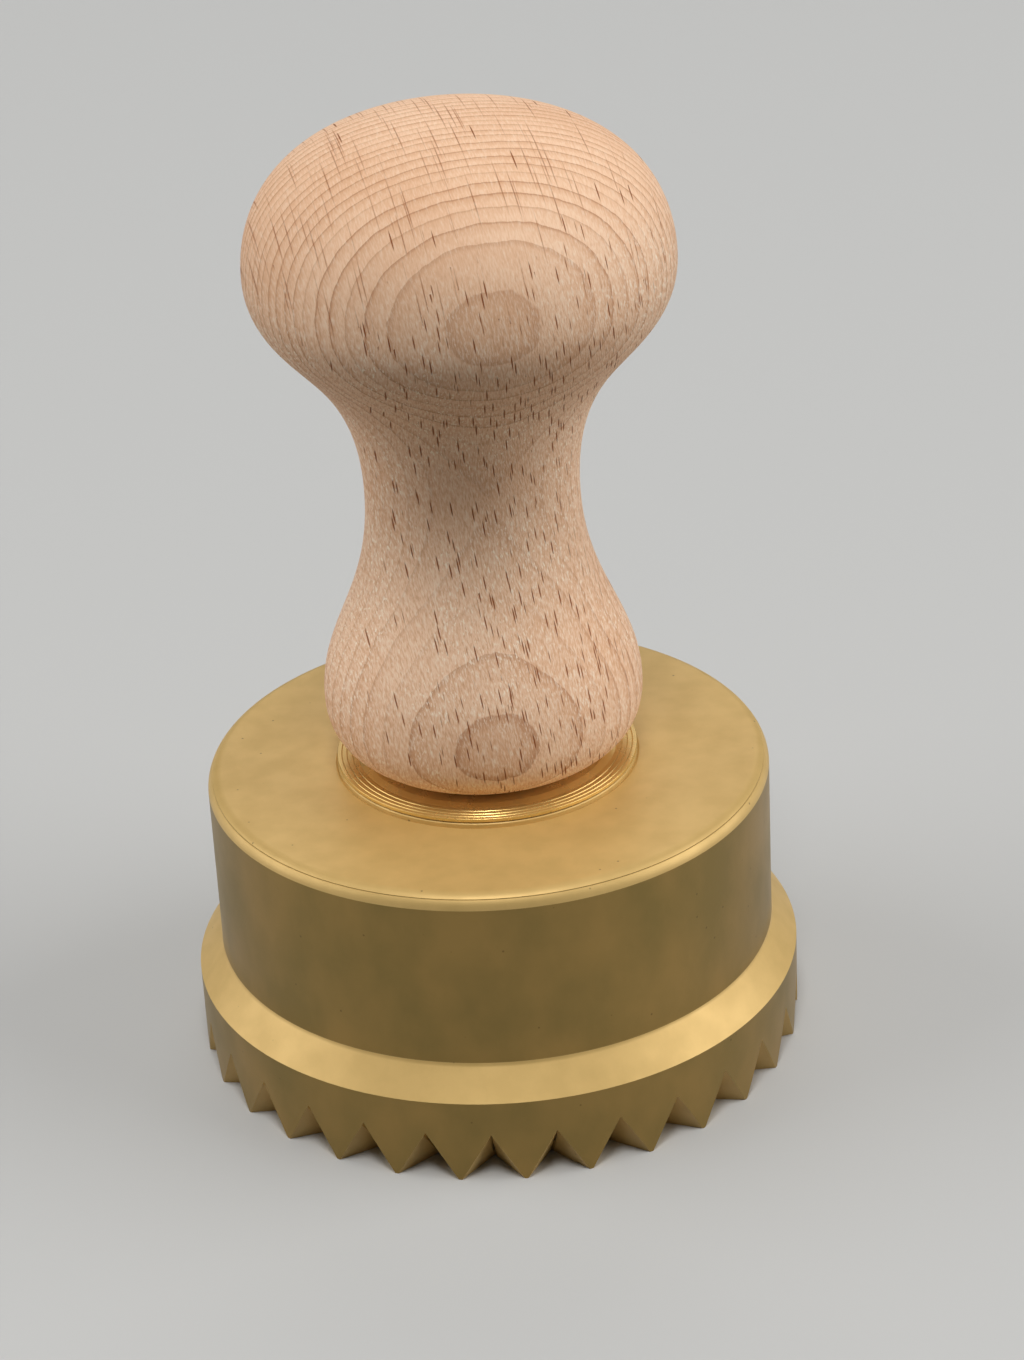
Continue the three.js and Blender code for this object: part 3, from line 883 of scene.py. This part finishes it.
@dataclass
class Collar:
    """The bush's flange: a low brass ring that carries the knob, with the bush's necks hidden in it."""

    radius: float = 14.7 * MM
    thickness: float = 0.45 * MM
    seat_gap: float = 0.05 * MM
    land_radius: float = 12.7 * MM
    neck_radius: float = 6 * MM
    stem_bore: float = 3.08 * MM
    edge: float = 0.12 * MM
    grooves: tuple[float, ...] = (14.25 * MM, 13.75 * MM, 13.2 * MM)
    groove_half: float = 0.06 * MM
    groove_depth: float = 0.06 * MM
    land_slope: float = 0.7 * MM
    chamfer: float = 0.6 * MM
    spigot: float = 14 * MM

    def build(self, brass: Material) -> Piece:
        """Models the bush.

        Args:
            brass: Its finish, a lighter brass that is painted light.

        Returns:
            The object.
        """
        low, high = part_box("guide_bush")
        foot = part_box("die_body")[1][2] + self.seat_gap
        top = foot + self.thickness
        land = high[2] - self.spigot
        outline = Outline([(self.stem_bore, low[2]), (self.neck_radius - self.chamfer, low[2])])
        outline.to((self.neck_radius, low[2] + self.chamfer), (self.neck_radius, foot))
        outline.to((self.radius - self.edge, foot), (self.radius, foot + self.edge))
        outline.rounded((self.radius, top), (self.land_radius, top), self.edge / 2)
        for groove in self.grooves:
            outline.to((groove + self.groove_half, top), (groove, top - self.groove_depth))
            outline.to((groove - self.groove_half, top))
        outline.to((self.land_radius, top), (self.land_radius - self.land_slope, land))
        outline.to((self.neck_radius, land), (self.neck_radius, high[2] - self.chamfer))
        outline.to((self.neck_radius - self.chamfer, high[2]), (self.stem_bore, high[2]))
        mesh = spin_outline(outline, BRASS_STEPS, closed=True)
        return finish_piece("collar", mesh, (brass,), Body.STAMP, "guide_bush")


@dataclass
class Knob:
    """The turned beech knob: a round foot, a waist and a mushroom head."""

    foot_radius: float = 10.45 * MM
    bulge: Point = (15.45 * MM, 6.65 * MM)
    waist: Point = (10.2 * MM, 27.65 * MM)
    head: Point = (20 * MM, 50.15 * MM)
    insert_bore: float = 8.54 * MM
    insert_depth: float = 15.2 * MM
    stem_bore: float = 5.5 * MM
    drill_point: float = 2.4 * MM
    stem_bore_depth: float = 30 * MM
    steps: int = 192

    def build(self, beech: Material) -> Piece:
        """Models the knob.

        Args:
            beech: Its finish.

        Returns:
            The object.
        """
        low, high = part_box("handle")
        seat, crown = low[2], high[2]
        bulge, waist, head = seat + self.bulge[1], seat + self.waist[1], seat + self.head[1]
        wide, slim, full = self.bulge[0], self.waist[0], self.head[0]
        lower, upper, dome = waist - bulge, head - waist, crown - head
        flare = wide - self.foot_radius
        bore_top = seat + self.stem_bore_depth
        outline = Outline([(0, bore_top + self.drill_point), (self.stem_bore, bore_top)])
        outline.to((self.stem_bore, seat + self.insert_depth), (self.insert_bore, seat + self.insert_depth))
        outline.to((self.insert_bore, seat), (self.foot_radius, seat))
        # Each curve's pulls are shares of its own rise and flare, fitted to the knob's outline.
        outline.curve((self.foot_radius + 0.63 * flare, seat + 0.23 * self.bulge[1]),
                      (wide, seat + 0.44 * self.bulge[1]), (wide, bulge), 24)
        outline.curve((wide, bulge + 0.33 * lower), (slim, waist - 0.51 * lower), (slim, waist), 32)
        outline.curve((slim, waist + 0.64 * upper), (full, head - 0.36 * upper), (full, head), 36)
        outline.curve((full, head + 0.41 * dome), (0.83 * full, crown), (0, crown), 36)
        mesh = spin_outline(outline, self.steps, closed=False)
        return finish_piece("knob", mesh, (beech,), Body.STAMP, "handle")


@dataclass
class Ejector:
    """The dished piston, its countersunk screw and the spring above it."""

    piston_radius: float = 23.1 * MM
    rim: float = 2.6 * MM
    dish_depth: float = 5.2 * MM
    dish_fillet: float = 1.6 * MM
    dish_steps: int = 8
    web: float = 2.8 * MM
    hub_radius: float = 10.6 * MM
    edge: float = 0.5 * MM
    broken_edge: float = 0.1 * MM
    screw_radius: float = 2 * MM
    screw_head: float = 4 * MM
    screw_steps: int = 64
    slot_width: float = 1 * MM
    slot_depth: float = 0.8 * MM
    thread_gap: float = 0.12 * MM
    wire: float = 0.75 * MM
    wire_sides: int = 16
    end_pitch: float = 2.1 * MM
    turns: int = 5
    steps_per_turn: int = 48
    travel: float = 8 * MM

    def build(self, brass: Material, steel: Material) -> list[Piece]:
        """Models the ejector's pieces.

        Args:
            brass: The piston's finish.
            steel: The finish of the screw and the spring.

        Returns:
            The objects.
        """
        return [self._piston(brass), self._screw(steel), self._spring(steel)]

    def _piston(self, brass: Material) -> Piece:
        """Spins the dished piston.

        Args:
            brass: Its finish.

        Returns:
            The object.
        """
        low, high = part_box("ejector_plate")
        foot, hub_top = low[2], high[2]
        ceiling = foot + self.dish_depth
        web_top = ceiling + self.web
        radius = self.piston_radius
        dish = radius - self.rim
        hole = self.screw_radius + self.thread_gap
        sink = self.screw_head + self.thread_gap
        outline = Outline([(dish, foot)])
        outline.rounded((radius, foot), (radius, web_top), self.edge)
        outline.rounded((radius, web_top), (0, web_top), self.edge)
        outline.to((self.hub_radius, web_top), (self.hub_radius, hub_top), (hole, hub_top))
        outline.to((hole, ceiling + sink - hole), (sink, ceiling))
        outline.rounded((dish, ceiling), (dish, foot), self.dish_fillet, self.dish_steps)
        mesh = spin_outline(outline, BRASS_STEPS, closed=True)
        return finish_piece("piston", mesh, (brass,), Body.EJECTOR, "ejector_plate",
                            self.broken_edge)

    def _screw(self, steel: Material) -> Piece:
        """Spins the screw and mills a slot across its head.

        Args:
            steel: Its finish.

        Returns:
            The object.
        """
        low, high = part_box("ejector_screw")
        face = low[2]
        cone = self.screw_head - self.screw_radius
        outline = Outline([(0, high[2]), (self.screw_radius, high[2]), (self.screw_radius, face + cone)])
        outline.to((self.screw_head, face))
        mesh = spin_outline(outline, self.screw_steps, closed=False)
        bmesh.ops.remove_doubles(mesh, verts=mesh.verts, dist=MERGE_DISTANCE)
        bmesh.ops.edgeloop_fill(mesh, edges=[edge for edge in mesh.edges if edge.is_boundary])
        half, floor = self.slot_width / 2, face + self.slot_depth
        for place, across in (((half, 0, 0), (1, 0, 0)), ((-half, 0, 0), (1, 0, 0)), ((0, 0, floor), UP)):
            bmesh.ops.bisect_plane(mesh, geom=everything(mesh), plane_co=place, plane_no=across,
                                   dist=MERGE_DISTANCE)
        middles = ((side, side.calc_center_median()) for side in mesh.faces)
        milled = [side for side, middle in middles
                  if abs(middle.x) < half and middle.z < floor - MERGE_DISTANCE]
        bmesh.ops.delete(mesh, geom=milled, context="FACES")
        rim = [edge for edge in mesh.edges if edge.is_boundary]
        corners = {vert for edge in rim for vert in edge.verts
                   if abs(abs(vert.co.x) - half) < MERGE_DISTANCE and abs(vert.co.z - floor) < MERGE_DISTANCE}
        for side in (-1, 1):
            rim.append(mesh.edges.new([vert for vert in corners if vert.co.x * side > 0]))
        bmesh.ops.edgenet_fill(mesh, edges=rim)
        return finish_piece("piston_screw", mesh, (steel,), Body.EJECTOR, "ejector_screw")

    def _spring(self, steel: Material) -> Piece:
        """Winds the spring, with closer turns at both ends.

        Args:
            steel: Its finish.

        Returns:
            The object.
        """
        low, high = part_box("ejector_spring")
        coil = (high[0] - low[0]) / 2 - self.wire
        length = high[2] - low[2] - 2 * self.wire
        middle_turns = self.turns - 2
        middle_pitch = (length - 2 * self.end_pitch) / middle_turns
        mesh = bmesh.new()
        place = Matrix.Translation((coil, 0, low[2] + self.wire)) @ Matrix.Rotation(math.pi / 2, 4, "X")
        bmesh.ops.create_circle(mesh, radius=self.wire, segments=self.wire_sides, matrix=place, cap_ends=True)
        last = mesh.verts[:] + mesh.edges[:]
        steps = self.steps_per_turn
        for turns, pitch in ((1, self.end_pitch), (middle_turns, middle_pitch), (1, self.end_pitch)):
            wound = bmesh.ops.spin(mesh, geom=last, axis=UP, cent=ORIGIN, dvec=UP * (pitch / steps),
                                   angle=FULL_TURN * turns, steps=steps * turns)
            last = wound["geom_last"]
        bmesh.ops.edgeloop_fill(mesh, edges=[item for item in last if isinstance(item, bmesh.types.BMEdge)])
        piece = finish_piece("spring", mesh, (steel,), Body.STAMP, "ejector_spring")
        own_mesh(piece)
        return piece


@dataclass
class InnerFittings:
    """The plain fittings inside the knob and the cup, which keep their solids."""

    brass_nodes: tuple[str, ...] = ("ring_nut", "handle_insert")
    steel_nodes: tuple[str, ...] = ("bush_washer", "ejector_stem", "stop_washer", "stop_nut")

    def dress(self, brass: Material, steel: Material) -> None:
        """Gives each fitting its finish.

        Args:
            brass: The finish of the brass fittings.
            steel: The finish of the steel fittings.
        """
        for nodes, material in ((self.brass_nodes, brass), (self.steel_nodes, steel)):
            for name in nodes:
                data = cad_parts[name].data
                data.materials.clear()
                data.materials.append(material)
                log.info("%s keeps its solid", name)


@dataclass(frozen=True)
class Lamp:
    """One soft box of the studio."""

    name: str
    place: tuple[float, float, float]
    size: float
    watts: float

    def hang(self, target: Vector) -> None:
        """Hangs the lamp and turns it to the object.

        Args:
            target: The point that it shines at.
        """
        data = bpy.data.lights.new(self.name, "AREA")
        data.shape = "DISK"
        data.size = self.size
        data.energy = self.watts
        lamp = bpy.data.objects.new(self.name, data)
        lamp.location = self.place
        lamp.rotation_euler = (target - Vector(self.place)).to_track_quat("-Z", "Y").to_euler()
        bpy.context.scene.collection.objects.link(lamp)


@dataclass
class Studio:
    """Floor, light and camera."""

    floor_colour: str = "#bebebc"
    floor_bounce: str = "#6c6c6a"
    floor_size: float = 12.0
    floor_clouds: float = 6.0
    floor_roughness: Span = (0.78, 0.84)
    sky: str = "#f2f3f5"
    sky_strength: float = 0.08
    lamps: tuple[Lamp, ...] = (
        Lamp("key_box", (0, -0.98, 2.35), 0.75, 28.5),
        Lamp("ceiling_box", (0, 0.25, 2.45), 2.25, 5.6),
        Lamp("back_box", (0, 2.12, 1.38), 2.0, 8.8),
        Lamp("right_box", (1.88, -0.1, 0.92), 2.2, 33.5),
        Lamp("left_box", (-1.88, -0.04, 0.92), 2.2, 25.5),
    )
    aim: tuple[float, float, float] = (2.77 * MM, 0.16 * MM, 37.52 * MM)
    distance: float = 349.75 * MM
    azimuth: float = -2.836
    elevation: float = 27.755
    roll: float = -3.08
    focal_pixels: float = 3600
    sensor: float = 36.0

    def build(self) -> None:
        """Sets up the floor, the light and the camera."""
        self._floor()
        self._light()
        self._camera()
        bpy.context.scene.view_settings.view_transform = "Standard"

    def _floor(self) -> None:
        """Lays a plain pale floor under the teeth."""
        mesh = bmesh.new()
        bmesh.ops.create_grid(mesh, x_segments=1, y_segments=1, size=self.floor_size / 2)
        data = bpy.data.meshes.new("floor")
        mesh.to_mesh(data)
        mesh.free()
        data.materials.append(self._floor_paint())
        floor = bpy.data.objects.new("floor", data)
        bpy.context.scene.collection.objects.link(floor)

    def _floor_paint(self) -> Material:
        """Builds matte paint that looks pale and throws less light back than it shows.

        Returns:
            The material.
        """
        tree = Tree("floor_matte_paint")
        place = tree.add(Node.PLACE, out="Object")
        cloud = tree.add(Node.NOISE, {"Vector": place, "Scale": self.floor_clouds})
        rough = tree.add(Node.RANGE, (cloud, *WHOLE, *self.floor_roughness))
        seen = tree.add(Node.LIGHT_PATH, out="Is Camera Ray")
        rays = seen.node.outputs
        for name in ("Is Glossy Ray", "Is Transmission Ray"):
            seen = tree.add(Node.MATH, (seen, rays[name]), operation="MAXIMUM")
        bounce, shown = to_linear(self.floor_bounce), to_linear(self.floor_colour)
        colour = tree.add(Node.MIX, {0: seen, 6: bounce, 7: shown}, 2, data_type="RGBA")
        return tree.finish({"Base Color": colour, "Roughness": rough})

    def _light(self) -> None:
        """Lights the room evenly and hangs the soft boxes."""
        world = bpy.data.worlds.new("studio")
        world.use_nodes = True
        background = world.node_tree.nodes["Background"]
        background.inputs["Color"].default_value = to_linear(self.sky)
        background.inputs["Strength"].default_value = self.sky_strength
        bpy.context.scene.world = world
        for lamp in self.lamps:
            lamp.hang(Vector(self.aim))

    def _camera(self) -> None:
        """Puts the camera at the photograph's angle."""
        data = bpy.data.cameras.new("camera")
        data.sensor_fit = "HORIZONTAL"
        data.sensor_width = self.sensor
        data.lens = self.sensor * self.focal_pixels / IMAGE_WIDTH
        azimuth, elevation = math.radians(self.azimuth), math.radians(self.elevation)
        ahead = Vector((math.sin(azimuth) * math.cos(elevation), math.cos(azimuth) * math.cos(elevation),
                        -math.sin(elevation)))
        level = ahead.cross(UP).normalized()
        level.rotate(Matrix.Rotation(math.radians(-self.roll), 3, ahead))
        upward = level.cross(ahead)
        axes = Matrix((level, upward, -ahead)).transposed().to_4x4()
        camera = bpy.data.objects.new("camera", data)
        camera.matrix_world = Matrix.Translation(Vector(self.aim) - ahead * self.distance) @ axes
        bpy.context.scene.collection.objects.link(camera)
        bpy.context.scene.camera = camera


def main() -> None:
    """Builds the scene."""
    logging.basicConfig(level=logging.INFO, format="%(name)s: %(message)s")
    die_brass = TurnedBrass().material()
    # Painted shade: the upright faces of wall and skirt get a darker brass that stands in for the shade they
    # show.
    upright_shade_brass = TurnedBrass("brass_turned_painted_shade", "#9d7f45", "#8a733d", mottle=6 * MM, drawn=1.5,
                             roughness=(0.36, 0.42), metallic=0.6).material()
    # Painted light: the collar and inner fittings get a lighter brass that stands in for the light on the
    # collar under the knob.
    fitting_brass = TurnedBrass("brass_turned_painted_light", "#e6c276", "#dcb76a", roughness=(0.26, 0.3),
                                metallic=0.6).material()
    steel = DrawnSteel().material()
    Studio().build()
    Die().build(die_brass, upright_shade_brass)
    Collar().build(fitting_brass)
    Knob().build(Beech().material())
    Ejector().build(die_brass, steel)
    InnerFittings().dress(fitting_brass, steel)


if __name__ == "__main__":
    main()
